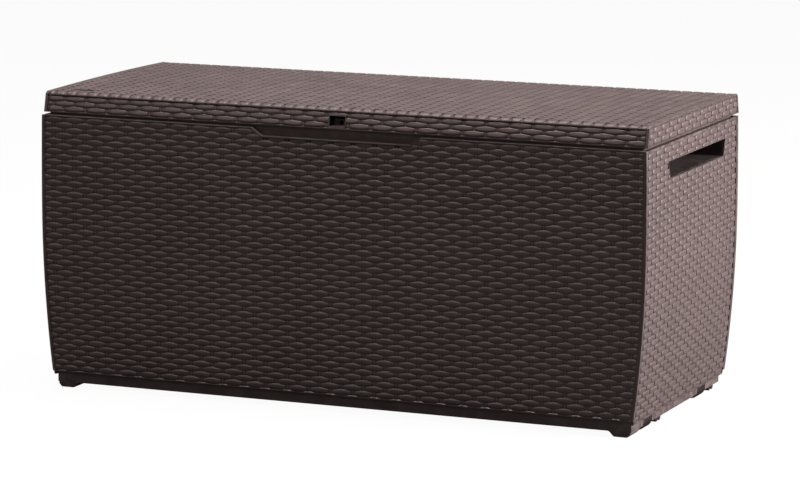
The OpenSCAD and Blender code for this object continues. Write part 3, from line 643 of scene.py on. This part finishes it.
class SkinMaker:
    """Makes closed skins from woven fields and cuts openings in them."""

    # Depth of a skin's back: a little more than the relief.
    FLOOR = RELIEF + 0.1 * MM

    def __init__(self, dresser: Dresser) -> None:
        """Keeps the dresser.

        Args:
            dresser: Puts the woven finish on each skin.
        """
        self.dresser = dresser

    def skin(
        self, name: str, relief: Relief, place: PlaceFn, finish: Finish = Finish.WOVEN
    ) -> bpy.types.Object:
        """Builds a closed skin: the woven face, a wall round it and a back.

        Args:
            name: The piece's name.
            relief: The woven field.
            place: Gives points from places along and across the rows and a depth.
            finish: The skin's finish.

        Returns:
            The new object.
        """
        lines, columns = relief.across.shape
        along = np.broadcast_to(relief.along, relief.across.shape).ravel()
        across, depth = relief.across.ravel(), relief.depth.ravel()
        grid = np.arange(lines * columns).reshape(lines, columns)
        ring = np.concatenate([grid[0, :-1], grid[:-1, -1], grid[-1, :0:-1], grid[:0:-1, 0]])
        low_ring = np.arange(len(ring)) + lines * columns
        face = place(along, across, depth)
        low = place(along[ring], across[ring], np.full(len(ring), self.FLOOR))
        faces = np.stack([grid[:-1, :-1], grid[:-1, 1:], grid[1:, 1:], grid[1:, :-1]], axis=-1)
        faces = faces.reshape(-1, 4).tolist()
        after = np.roll(np.arange(len(ring)), -1)
        faces += np.stack([ring[after], ring, low_ring, low_ring[after]], axis=-1).tolist()
        faces += self.back(low_ring, lines, columns)
        if self.faces_inward(relief, place, face[faces[self.middle_face(lines, columns)]]):
            faces = [f[::-1] for f in faces]
        mesh = bpy.data.meshes.new(name)
        mesh.from_pydata(np.concatenate([face, low]).tolist(), [], faces)
        crest = np.concatenate([1 - depth / RELIEF, np.zeros(len(ring))]).astype(np.float32)
        mesh.attributes.new("crest", "FLOAT", "POINT").data.foreach_set("value", crest)
        mesh.shade_smooth()
        self.mark_sharp(mesh, grid, relief.seams, ring)
        piece = bpy.data.objects.new(name, mesh)
        bpy.context.scene.collection.objects.link(piece)
        self.dresser.dress(piece, finish)
        LOG.info("%s: %d faces", name, len(faces))
        return piece

    @staticmethod
    def middle_face(lines: int, columns: int) -> int:
        """Number of the face in the middle of a woven field."""
        return (lines // 2) * (columns - 1) + columns // 2

    @staticmethod
    def faces_inward(relief: Relief, place: PlaceFn, corners: np.ndarray) -> bool:
        """Tells whether a face of the woven field looks into the object.

        Args:
            relief: The woven field.
            place: Gives points from places along and across the rows and a depth.
            corners: The face's corners.

        Returns:
            True where the face looks inwards.
        """
        lines, columns = relief.across.shape
        line, column = lines // 2, columns // 2
        spot = relief.along[[column]], relief.across[line, [column]]
        outward = (place(*spot, np.zeros(1)) - place(*spot, np.full(1, RELIEF)))[0]
        normal = np.cross(corners[1] - corners[0], corners[3] - corners[0])
        return bool(np.dot(normal, outward) < 0)

    @staticmethod
    def back(ring: np.ndarray, lines: int, columns: int) -> list[list[int]]:
        """Faces that close a skin behind, as strips along the rows.

        Args:
            ring: The wall's lower points in order.
            lines: Count of lines across the rows.
            columns: Count of columns along the rows.

        Returns:
            The faces.
        """
        corner = columns + lines - 2
        right = ring[columns - 1 : corner + 1].tolist()
        left = [int(ring[0]), *ring[::-1][: lines - 1].tolist()]
        first = ring[:columns].tolist() + [right[1], left[1]]
        last = ring[corner : corner + columns].tolist() + [left[-2], right[-2]]
        strips = [[left[i], right[i], right[i + 1], left[i + 1]] for i in range(1, lines - 2)]
        return [f[::-1] for f in (first, *strips, last)]

    @staticmethod
    def mark_sharp(
        mesh: bpy.types.Mesh, grid: np.ndarray, seams: np.ndarray, ring: np.ndarray
    ) -> None:
        """Marks the seams between rows and the skin's rim as sharp edges.

        Args:
            mesh: The mesh.
            grid: Point numbers of the woven face.
            seams: True for each line that is a seam.
            ring: Points on the rim.
        """
        ends = np.zeros(len(mesh.edges) * 2, np.int32)
        mesh.edges.foreach_get("vertices", ends)
        ends = ends.reshape(-1, 2)
        on_face = (ends < grid.size).all(axis=1)
        line = np.where(ends < grid.size, ends // grid.shape[1], -1)
        is_seam = seams[np.clip(line[:, 0], 0, len(seams) - 1)]
        along_seam = on_face & (line[:, 0] == line[:, 1]) & is_seam
        rim = np.isin(ends, ring).all(axis=1) | ~on_face
        sharp = mesh.attributes.new("sharp_edge", "BOOLEAN", "EDGE")
        sharp.data.foreach_set("value", along_seam | rim)

    @staticmethod
    def prism(
        outline: Sequence[Sequence[float]], axis: int, low: float, high: float
    ) -> bpy.types.Object:
        """A closed prism to cut with.

        Args:
            outline: Corners in the two other axes, in axis order.
            axis: The axis it runs along: 0, 1 or 2.
            low: Start along the axis.
            high: End along the axis.

        Returns:
            The prism object.
        """
        count = len(outline)
        flat = np.array(outline, float)
        points = np.concatenate([np.insert(flat, axis, level, axis=1) for level in (low, high)])
        faces = [list(range(count))[::-1], list(range(count, 2 * count))]
        faces += [[i, (i + 1) % count, count + (i + 1) % count, count + i] for i in range(count)]
        mesh = bpy.data.meshes.new("cutter")
        mesh.from_pydata(points.tolist(), [], faces)
        fans = [(f[0], f[k], f[k + 1]) for f in faces for k in range(1, len(f) - 1)]
        volume = sum(np.dot(points[a], np.cross(points[b], points[c])) for a, b, c in fans)
        if volume < 0:
            mesh.flip_normals()
        cutter = bpy.data.objects.new("cutter", mesh)
        bpy.context.scene.collection.objects.link(cutter)
        return cutter

    @staticmethod
    def carve(
        piece: bpy.types.Object, cutter: bpy.types.Object, operation: str = "DIFFERENCE"
    ) -> None:
        """Cuts a piece with a cutter and removes the cutter.

        Args:
            piece: The piece.
            cutter: The cutter.
            operation: DIFFERENCE or INTERSECT.
        """
        cut = piece.modifiers.new("cut", "BOOLEAN")
        cut.solver = "MANIFOLD"
        cut.operation = operation
        cut.object = cutter
        graph = bpy.context.evaluated_depsgraph_get()
        mesh = bpy.data.meshes.new_from_object(
            piece.evaluated_get(graph), preserve_all_data_layers=True, depsgraph=graph
        )
        piece.modifiers.clear()
        piece.data = mesh
        bpy.data.objects.remove(cutter)


# ------------------------------------------------------------------ body


@dataclass(frozen=True)
class EndCurve:
    """The bulging outline of the box's ends.

    Attributes:
        half: Half length of the box where it is longest.
        belly: Height at which it is longest.
        lower_r: Radius of the bulge below that height.
        upper_r: Radius of the bulge above it.
    """

    half: float
    belly: float = 350 * MM
    lower_r: float = 2550 * MM
    upper_r: float = 9000 * MM

    def half_at(self, height: np.ndarray) -> np.ndarray:
        """Half length of the box at a height.

        Args:
            height: Heights above the ground.

        Returns:
            Half lengths.
        """
        radius = np.where(height < self.belly, self.lower_r, self.upper_r)
        return self.half - (height - self.belly) ** 2 / (2 * radius)


@dataclass
class WovenBody:
    """The four walls, their woven skins and the parts fixed to them.

    Attributes:
        dresser: Puts finishes on the parts.
        maker: Makes the skins.
        curve: The outline of the ends.
        border: Smooth strip below and above the weave.
        bead: Smooth bead at each end of the front.
        back_border: Smooth strip at each end of the back.
        side_top_band: Smooth band above the weave of the ends.
        fade: Length over which a wide skin's last columns come to follow the ends' outline.
        fade_power: Power of that fade.
        gap: Play between a skin and the edge of its field.
        wall: Thickness of the front panel, behind which the ends' weave starts.
        grip_half: Half width of the finger grip at its floor and at its mouth.
        grip_height: Depth of the finger grip below the front's top edge.
        grip_margin: Smooth strip round the finger grip and the handle slots.
        slot_top: Front and rear end of a handle slot's top edge.
        slot_taper: How much shorter the slot is at its floor, at each end.
        slot_height: Height of a handle slot.
        slot_drop: Distance of the slot from the box's top edge.
        cut_reach: How far a cutter stands out on both sides of an end panel.
    """

    dresser: Dresser
    maker: SkinMaker
    curve: EndCurve
    border: float = 1.5 * MM
    bead: float = 6 * MM
    back_border: float = 22 * MM
    side_top_band: float = 5 * MM
    fade: float = 120 * MM
    fade_power: float = 1.5
    gap: float = 0.15 * MM
    wall: float = 5 * MM
    grip_half: Range = (150 * MM, 171 * MM)
    grip_height: float = 15 * MM
    grip_margin: float = 2 * MM
    slot_top: Range = (-148 * MM, 186 * MM)
    slot_taper: float = 10 * MM
    slot_height: float = 32 * MM
    slot_drop: float = 34 * MM
    cut_reach: float = 30 * MM

    def build(self) -> None:
        """Builds and dresses the walls."""
        front_low, back_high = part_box("front_panel")[0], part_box("back_panel")[1]
        self.low, self.top = front_low.z, back_high.z
        self.wide_skin("front_weave", front_low.y, 1, self.bead, grip=True)
        self.wide_skin("back_weave", back_high.y, -1, self.back_border, grip=False)
        for name, side in (("right_weave", 1), ("left_weave", -1)):
            self.side_skin(name, side)
        panels = ("front_panel", "back_panel", "left_panel", "right_panel")
        self.dresser.dress_parts(Finish.SMOOTH, *panels)
        # The handle cups get the darker copy of the smooth resin, painted shade for their hollows.
        self.dresser.dress_parts(Finish.SHADED_CUP, "left_handle_cup", "right_handle_cup")
        self.dresser.dress_parts(Finish.BLACK, "lock_tab")
        self.dresser.dress_parts(Finish.RUBBER, "lid_bumpers")
        self.dresser.dress_parts(Finish.ZINC, "cup_screws", "lock_screws")

    def wide_skin(self, name: str, face_y: float, inward: int, edge: float, grip: bool) -> None:
        """Builds the woven skin of the front or the back.

        Args:
            name: The piece's name.
            face_y: The wall's face.
            inward: Direction of depth along Y.
            edge: Width of the smooth strip at each end.
            grip: True where the finger grip interrupts the weave.
        """
        low, high = self.low + self.border + self.gap, self.top - self.border - self.gap
        half = self.curve.half - edge - self.gap
        relief = WALL_WEAVE.field(2 * half, high - low)
        middle = (low + high) / 2

        def place(along: np.ndarray, across: np.ndarray, depth: np.ndarray) -> np.ndarray:
            """Points of the wall, with the last columns following the end curve.

            Args:
                along: Places along the rows.
                across: Places across the rows.
                depth: Depths below the crests.

            Returns:
                The points.
            """
            height = across + middle
            share = np.clip((np.abs(along) - half + self.fade) / self.fade, 0, 1)
            share = share**self.fade_power
            pull = self.curve.half - self.curve.half_at(height)
            x = along - np.sign(along) * pull * share
            return np.stack([x, face_y + inward * depth, height], axis=-1)

        piece = self.maker.skin(name, relief, place)
        if grip:
            slope = (self.grip_half[1] - self.grip_half[0]) / self.grip_height
            reach = self.grip_height + 4 * self.grip_margin
            floor = self.top - self.grip_height - self.grip_margin
            low_half = self.grip_half[0] + self.grip_margin
            top_half = low_half + slope * reach
            outline = [
                (-low_half, floor), (low_half, floor),
                (top_half, floor + reach), (-top_half, floor + reach),
            ]
            ends = (face_y - self.grip_height, face_y + self.grip_height)
            self.maker.carve(piece, self.maker.prism(outline, 1, *ends))
        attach(piece, "box")

    def side_skin(self, name: str, side: int) -> None:
        """Builds the woven skin of one end.

        Args:
            name: The piece's name.
            side: 1 for the right-hand end, -1 for the left-hand one.
        """
        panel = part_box("right_panel")
        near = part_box("front_panel")[0].y + self.wall + self.border + self.gap
        far = panel[1].y - self.border - self.gap
        low = panel[0].z + self.border + self.gap
        high = self.top - self.side_top_band - self.gap
        relief = BRICK_WEAVE.field(far - near, high - low)
        middle_y, middle_z = (near + far) / 2, (low + high) / 2

        def place(along: np.ndarray, across: np.ndarray, depth: np.ndarray) -> np.ndarray:
            """Points of the bulging end.

            Args:
                along: Places along the rows.
                across: Places across the rows.
                depth: Depths below the crests.

            Returns:
                The points.
            """
            height = across + middle_z
            x = side * (self.curve.half_at(height) - depth)
            return np.stack([x, along + middle_y, height], axis=-1)

        piece = self.maker.skin(name, relief, place, Finish.BRICK)
        margin = self.grip_margin
        top = self.top - self.slot_drop
        floor = top - self.slot_height
        near, far = self.slot_top
        outline = [
            (near + self.slot_taper - margin, floor - margin),
            (far - self.slot_taper + margin, floor - margin),
            (far + margin, top + margin), (near - margin, top + margin),
        ]
        ends = [side * (self.curve.half + reach) for reach in (-self.cut_reach, self.cut_reach)]
        self.maker.carve(piece, self.maker.prism(outline, 0, *sorted(ends)))
        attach(piece, "box")


# ------------------------------------------------------------------ lid


class LidLine:
    """The lid's outline in the YZ plane, followed by its length, with smooth normals."""

    # Places at which a corner is cut off to round the line.
    CUTS = (0.25, 0.75)

    def __init__(self, corners: Sequence[Corner], steps: int = 6, rounds: int = 0) -> None:
        """Takes the corners of a part of the outline.

        Args:
            corners: Corners in order, as (y, z).
            steps: Points between two corners.
            rounds: Times that the corners are cut to round the line.
        """
        base = np.array(corners, float)
        for _ in range(rounds):
            cut = np.stack([base[:-1] * (1 - c) + base[1:] * c for c in self.CUTS], axis=1)
            base = np.concatenate([base[:1], cut.reshape(-1, 2)[1:-1], base[-1:]])
        spots = [a + (b - a) * k / steps for a, b in zip(base, base[1:]) for k in range(steps)]
        self.points = np.array([*spots, base[-1]])
        run = np.diff(self.points, axis=0)
        length = np.linalg.norm(run, axis=1)
        self.at = np.concatenate([[0.0], np.cumsum(length)])
        flat = np.stack([-run[:, 1], run[:, 0]], axis=-1) / length[:, None]
        self.normals = np.concatenate([flat[:1], (flat[1:] + flat[:-1]) / 2, flat[-1:]])

    @property
    def length(self) -> float:
        """Length of the line."""
        return float(self.at[-1])

    def place(self, along: np.ndarray, across: np.ndarray, depth: np.ndarray) -> np.ndarray:
        """Points on a sheet that runs along X and follows the line.

        Args:
            along: Places along X.
            across: Places along the line, from its middle.
            depth: Depths below the line.

        Returns:
            The points.
        """
        t = across + self.length / 2
        y, z = (
            np.interp(t, self.at, points) - depth * np.interp(t, self.at, normals)
            for points, normals in zip(self.points.T, self.normals.T)
        )
        return np.stack([along, y, z], axis=-1)


@dataclass
class WovenLid:
    """The double-skinned lid with its woven skins, tubes, badge and screws.

    Attributes:
        dresser: Puts finishes on the parts.
        maker: Makes the skins.
        lean: How far a rim leans in from its foot to its shoulder.
        roll_y: Depth of the roll from a rim to the top.
        roll_z: Height of that roll.
        crown: How much higher the top is at its middle than at its edges.
        crown_steps: Straight steps in the crown.
        brick_reach: How far the brick rows reach onto the top.
        brick_drop: How far they reach down a rim.
        lip: Smooth lip below the rims' weave.
        end_strip: Smooth strip at each end of the top.
        corner_strip: Smooth strip at each end of a rim.
        side_border: Smooth border round the weave of the lid's ends.
        shoulder_draw: Share of that border below an end's shoulders.
        crown_draw: Share of it at the sides of the crown.
        end_rows: Rows that the weave of an end is cut from.
        end_row: Height of one of those rows.
        end_hem: Plain margin below and above them.
        gap: Play between a skin and the edge of its field.
        window_half: Half width of the lock window with its frame.
        window_top: Top of the lock window above the lid's foot.
        notch_half: Half width of a hinge notch.
        notch_top: Top of a hinge notch above the lid's foot.
        hinge_x: Distance of the outer hinges from the middle.
        badge_gap: Strip round the blank badge.
        badge_steps: Straight steps round the badge.
        cut_reach: How far a cutter stands out of the lid's surface.
        cut_depth: How far a cutter goes into a rim.
        cut_drop: How far a cutter reaches below the lid's foot.
    """

    dresser: Dresser
    maker: SkinMaker
    lean: float = 8 * MM
    roll_y: float = 6.5 * MM
    roll_z: float = 3.5 * MM
    crown: float = 2.5 * MM
    crown_steps: int = 16
    brick_reach: float = 11 * MM
    brick_drop: float = 3.5 * MM
    lip: float = 2 * MM
    end_strip: float = 3.5 * MM
    corner_strip: float = 5.5 * MM
    side_border: float = 4 * MM
    shoulder_draw: float = 0.4
    crown_draw: float = 0.45
    end_rows: int = 4
    end_row: float = 10.35 * MM
    end_hem: float = 0.2 * MM
    gap: float = 0.15 * MM
    window_half: float = 17.5 * MM
    window_top: float = 26 * MM
    notch_half: float = 46 * MM
    notch_top: float = 19 * MM
    hinge_x: float = 400 * MM
    badge_gap: float = 1.2 * MM
    badge_steps: int = 32
    cut_reach: float = 10 * MM
    cut_depth: float = 20 * MM
    cut_drop: float = 5 * MM

    def build(self) -> None:
        """Builds and dresses the lid."""
        self.low, self.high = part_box("lid_shell")
        self.half = self.high.x
        self.mid_y = (self.low.y + self.high.y) / 2
        self.shoulder_z = self.high.z - self.crown - self.roll_z
        self.start_z = self.shoulder_z - self.brick_drop
        self.top_skin()
        self.brick_skins()
        self.rim_skins()
        self.end_skins()
        self.dresser.dress_parts(Finish.SMOOTH, "lid_shell", "lid_liner")
        self.dresser.dress_parts(Finish.BLACK, "blank_badge")
        self.dresser.dress_parts(Finish.ZINC, "front_lid_tube", "rear_lid_tube", "liner_screws")

    def crown_corners(self) -> list[Corner]:
        """Corners of the crowned top, from front to back.

        Returns:
            The corners, as (y, z).
        """
        reach = (self.high.y - self.low.y) / 2 - self.lean - self.roll_y
        shares = [2 * i / self.crown_steps - 1 for i in range(self.crown_steps + 1)]
        return [(self.mid_y + reach * s, self.high.z - self.crown * s * s) for s in shares]

    def on_crown(self, y: float) -> Corner:
        """The point of the crown at a place across the lid."""
        corners = np.array(self.crown_corners())
        return y, float(np.interp(y, corners[:, 0], corners[:, 1]))

    def rim_y(self, height: float, inward: int) -> float:
        """The place of a leaning rim at a height.

        Args:
            height: Height above the ground.
            inward: 1 for the front rim, -1 for the rear one.

        Returns:
            The rim's place along Y.
        """
        edge = self.low.y if inward > 0 else self.high.y
        return edge + inward * self.lean * (height - self.low.z) / (self.shoulder_z - self.low.z)

    def brick_ends(self) -> tuple[Corner, Corner]:
        """Where the brick rows end on the crown.

        Returns:
            The front and the rear point, as (y, z).
        """
        crown = self.crown_corners()
        near = self.on_crown(crown[0][0] + self.brick_reach)
        far = self.on_crown(crown[-1][0] - self.brick_reach)
        return near, far

    def top_skin(self) -> None:
        """Builds the woven top, cut away round the badge."""
        near, far = self.brick_ends()
        width = 2 * (self.half - self.end_strip - self.gap)
        inner = (c for c in self.crown_corners() if near[0] < c[0] < far[0])
        line = LidLine([near, *inner, far])
        relief = TOP_WEAVE.field(width, line.length)
        piece = self.maker.skin("lid_top_weave", relief, line.place, Finish.BRICK)
        badge_low, badge_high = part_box("blank_badge")
        middle = (badge_low + badge_high) / 2
        badge_half = (badge_high - badge_low) / 2
        radius, straight = badge_half.y + self.badge_gap, badge_half.x - badge_half.y
        outline = []
        for index in range(self.badge_steps):
            turn = 2 * math.pi * (index + 0.5) / self.badge_steps
            x = math.copysign(straight, math.cos(turn)) + radius * math.cos(turn)
            outline.append((middle.x + x, middle.y + radius * math.sin(turn)))
        ends = (middle.z - self.cut_reach, middle.z + self.cut_reach)
        self.maker.carve(piece, self.maker.prism(outline, 2, *ends))
        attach(piece, "lid")

    def brick_skins(self) -> None:
        """Builds the brick rows that roll over the front and rear edges."""
        near, far = self.brick_ends()
        crown = self.crown_corners()
        width = 2 * (self.half - self.end_strip - self.gap)
        front = [
            (self.rim_y(self.start_z, 1), self.start_z),
            (self.low.y + self.lean, self.shoulder_z), crown[0], near,
        ]
        rear = [
            far, crown[-1], (self.high.y - self.lean, self.shoulder_z),
            (self.rim_y(self.start_z, -1), self.start_z),
        ]
        for name, corners in (("lid_front_bricks", front), ("lid_rear_bricks", rear)):
            line = LidLine(corners, steps=1, rounds=3)
            relief = EDGE_BRICKS.field(width, line.length)
            piece = self.maker.skin(name, relief, line.place, Finish.BRICK)
            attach(piece, "lid")

    def rim_skins(self) -> None:
        """Builds the woven front and rear rims."""
        low_z = self.low.z + self.lip + self.gap
        width = 2 * (self.half - self.corner_strip - self.gap)
        window = self.window_half + self.gap
        window_cut = (-window, window, self.low.z + self.window_top + self.gap)
        notch_cuts = [
            (x - self.notch_half, x + self.notch_half, self.low.z + self.notch_top)
            for x in (-self.hinge_x, 0.0, self.hinge_x)
        ]
        base = self.low.z - self.cut_drop
        for name, edge, inward, cuts in (
            ("lid_front_weave", self.low.y, 1, [window_cut]),
            ("lid_rear_weave", self.high.y, -1, notch_cuts),
        ):
            corners = [(self.rim_y(z, inward), z) for z in (low_z, self.start_z)]
            line = LidLine(corners[::inward], 2)
            piece = self.maker.skin(name, RIM_WEAVE.field(width, line.length), line.place)
            ends = sorted((edge - inward * self.cut_reach, edge + inward * self.cut_depth))
            for left, right, top in cuts:
                outline = [(left, base), (right, base), (right, top), (left, top)]
                self.maker.carve(piece, self.maker.prism(outline, 1, *ends))
            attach(piece, "lid")

    def end_skins(self) -> None:
        """Builds the woven ends of the lid."""
        inset = self.side_border + self.gap
        low_z = self.low.z + self.lip + self.gap
        shoulder_z = self.shoulder_z - inset * self.shoulder_draw
        crown = self.crown_corners()
        crown_half = crown[-1][0] - self.mid_y
        draw = inset * self.crown_draw
        outline = [
            (self.low.y + inset, low_z), (self.low.y + self.lean + inset, shoulder_z),
            *((y - draw * (y - self.mid_y) / crown_half, z - inset) for y, z in crown),
            (self.high.y - self.lean - inset, shoulder_z), (self.high.y - inset, low_z),
        ]
        length = self.high.y - self.low.y - 2 * inset
        height = self.end_rows * self.end_row
        relief = replace(BRICK_WEAVE, hem=self.end_hem).field(length, height)
        mid_z = low_z + height / 2
        for name, side in (("lid_right_weave", 1), ("lid_left_weave", -1)):

            def place(
                along: np.ndarray, across: np.ndarray, depth: np.ndarray, side: int = side
            ) -> np.ndarray:
                """Points of the flat end."""
                x = side * (self.half - depth)
                return np.stack([x, along + self.mid_y, across + mid_z], axis=-1)

            piece = self.maker.skin(name, relief, place, Finish.BRICK)
            ends = [side * (self.half + reach) for reach in (-self.cut_reach, self.cut_reach)]
            self.maker.carve(piece, self.maker.prism(outline, 0, *sorted(ends)), "INTERSECT")
            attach(piece, "lid")


# ------------------------------------------------------------------ hardware


@dataclass
class Hardware:
    """The base tray, rollers, hinges and stays.

    Attributes:
        dresser: Puts finishes on the parts.
        stays: The lid stays, by side.
        hinges: The hinges, by place.
        rollers: The rollers, by place.
    """

    dresser: Dresser
    stays: tuple[str, ...] = ("left", "right")
    hinges: tuple[str, ...] = ("left", "middle", "right")
    rollers: tuple[str, ...] = ("front", "rear")

    def build(self) -> None:
        """Dresses the hardware."""
        dress = self.dresser.dress_parts
        dress(Finish.SMOOTH, "base_tray")
        for place in self.rollers:
            dress(Finish.BLACK, f"{place}_roller_carrier")
            dress(Finish.ROLLER, f"{place}_roller")
            dress(Finish.PIN, f"{place}_axle")
        for place in self.hinges:
            dress(Finish.PIN, f"{place}_hinge_pin")
            dress(Finish.BLACK, f"{place}_hinge_leaf", f"{place}_hinge_strap")
        for side in self.stays:
            parts = (f"{side}_stay_{part}" for part in ("arm", "stud", "bracket", "rivet"))
            dress(Finish.ZINC, *parts)
        screws = ("tray_screws", "hinge_leaf_screws", "hinge_strap_screws", "carrier_screws")
        dress(Finish.ZINC, *screws)


# ------------------------------------------------------------------ studio


@dataclass(frozen=True)
class Lamp:
    """A soft rectangular studio lamp.

    Attributes:
        name: The lamp's name.
        at: Where it stands.
        size: Its width and height.
        power: Its power in watts.
        aim: The point that it is turned to.
        tint: Its colour.
    """

    name: str
    at: Triple
    size: tuple[float, float]
    power: float
    aim: Triple = (0.0, 0.0, 0.3)
    tint: Colour = (1.0, 0.95, 0.945)

    def build(self) -> None:
        """Adds the lamp."""
        data = bpy.data.lights.new(self.name, "AREA")
        data.shape = "RECTANGLE"
        data.size, data.size_y = self.size
        data.energy = self.power
        data.color = self.tint
        lamp = bpy.data.objects.new(self.name, data)
        lamp.location = self.at
        lamp.rotation_mode = "QUATERNION"
        lamp.rotation_quaternion = (Vector(self.aim) - Vector(self.at)).to_track_quat("-Z", "Y")
        lamp.visible_camera = False
        bpy.context.scene.collection.objects.link(lamp)


LAMPS = (
    Lamp("right_lamp", (3.9, 0.9, 1.6), (2.2, 2.2), 520.0),
    Lamp("back_lamp", (-1.5, 4.6, 1.9), (8.0, 3.0), 22.0),
    Lamp("top_lamp", (-0.3, 0.0, 3.6), (3.0, 2.4), 205.0),
    Lamp("front_lamp", (-1.5, -4.0, 2.4), (3.0, 2.0), 34.0),
)


@dataclass
class Studio:
    """A plain pale floor, soft lamps and the camera.

    Attributes:
        azimuth: The camera's angle round the box, in degrees.
        elevation: The camera's angle above the ground, in degrees.
        roll: The camera's roll, in degrees.
        distance: Distance of the camera from its target.
        target: The point that the camera looks at.
        lens: Focal length in millimetres.
        sensor: Sensor width in millimetres.
        far_clip: Distance beyond which the camera sees nothing.
        floor_half: Half width of the floor.
        floor_grey: The floor's colour.
        floor_rough: The floor's roughness.
        floor_glow: Share of its own light in the floor that the camera sees.
        floor_bounce: The floor's colour for the light that it throws back.
        fill: Strength of the backdrop's own light on the box.
    """

    azimuth: float = 22.514
    elevation: float = 9.637
    roll: float = 0.256
    distance: float = 7.5777
    target: Triple = (0.01958, 0.0, 0.2675)
    lens: float = 176.85
    sensor: float = 36.0
    far_clip: float = 200.0
    floor_half: float = 40.0
    floor_grey: Colour = (0.8, 0.8, 0.8)
    floor_rough: float = 0.9
    floor_glow: float = 0.95
    floor_bounce: Colour = (0.1, 0.1, 0.1)
    fill: float = 0.08

    def build(self) -> None:
        """Builds the studio."""
        self.floor()
        self.world()
        self.camera()
        for lamp in LAMPS:
            lamp.build()
        bpy.context.scene.view_settings.view_transform = "Standard"

    def floor(self) -> None:
        """Builds the floor."""
        h = self.floor_half
        mesh = bpy.data.meshes.new("floor")
        mesh.from_pydata([(-h, -h, 0), (h, -h, 0), (h, h, 0), (-h, h, 0)], [], [(0, 1, 2, 3)])
        floor = bpy.data.objects.new("floor", mesh)
        bpy.context.scene.collection.objects.link(floor)
        n = Nodes("pale_floor")
        n.shader.inputs["Base Color"].default_value = (*self.floor_grey, 1)
        n.shader.inputs["Roughness"].default_value = self.floor_rough
        glow = n.add("ShaderNodeEmission", Color=(1, 1, 1, 1), Strength=1.0)
        path = n.add("ShaderNodeLightPath")
        bounce = n.add("ShaderNodeBsdfDiffuse", Color=(*self.floor_bounce, 1))
        seen = self.blend(n, self.floor_glow, n.shader, glow)
        pick = self.blend(n, path.outputs["Is Camera Ray"], bounce, seen)
        n.feed(n.tree.nodes["Material Output"].inputs["Surface"], pick.outputs[0])
        floor.data.materials.append(n.material)
        floor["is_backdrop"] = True

    @staticmethod
    def blend(
        n: Nodes, share: object, first: bpy.types.Node, second: bpy.types.Node
    ) -> bpy.types.Node:
        """Blends two shaders.

        Args:
            n: The material's nodes.
            share: Share of the second shader.
            first: The first shader.
            second: The second shader.

        Returns:
            The blending node.
        """
        node = n.add("ShaderNodeMixShader")
        for socket, value in zip(node.inputs, (share, first.outputs[0], second.outputs[0])):
            n.feed(socket, value)
        return node

    def world(self) -> None:
        """Sets a white backdrop that gives only a little light of its own."""
        world = bpy.data.worlds.new("studio")
        bpy.context.scene.world = world
        world.use_nodes = True
        tree = world.node_tree
        background = tree.nodes["Background"]
        background.inputs["Color"].default_value = (1, 1, 1, 1)
        path = tree.nodes.new("ShaderNodeLightPath")
        strength = tree.nodes.new("ShaderNodeMapRange")
        strength.inputs["To Min"].default_value = self.fill
        strength.inputs["To Max"].default_value = 1.0
        tree.links.new(path.outputs["Is Camera Ray"], strength.inputs["Value"])
        tree.links.new(strength.outputs[0], background.inputs["Strength"])

    def camera(self) -> None:
        """Places the camera."""
        around, up, roll = map(math.radians, (self.azimuth, self.elevation, self.roll))
        level = math.cos(up)
        back = Vector((math.sin(around) * level, -math.cos(around) * level, math.sin(up)))
        data = bpy.data.cameras.new("camera")
        data.lens = self.lens
        data.sensor_width = self.sensor
        data.clip_end = self.far_clip
        camera = bpy.data.objects.new("camera", data)
        camera.location = Vector(self.target) + back * self.distance
        turn = back.to_track_quat("Z", "Y")
        camera.rotation_mode = "QUATERNION"
        camera.rotation_quaternion = turn @ Quaternion((0, 0, 1), roll)
        bpy.context.scene.collection.objects.link(camera)
        bpy.context.scene.camera = camera


def main() -> None:
    """Builds the box's looks and the studio."""
    logging.basicConfig(level=logging.INFO, format="%(message)s")
    dresser = Dresser()
    maker = SkinMaker(dresser)
    curve = EndCurve(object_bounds()[1].x)
    Studio().build()
    WovenBody(dresser, maker, curve).build()
    WovenLid(dresser, maker).build()
    Hardware(dresser).build()


if __name__ == "__main__":
    main()
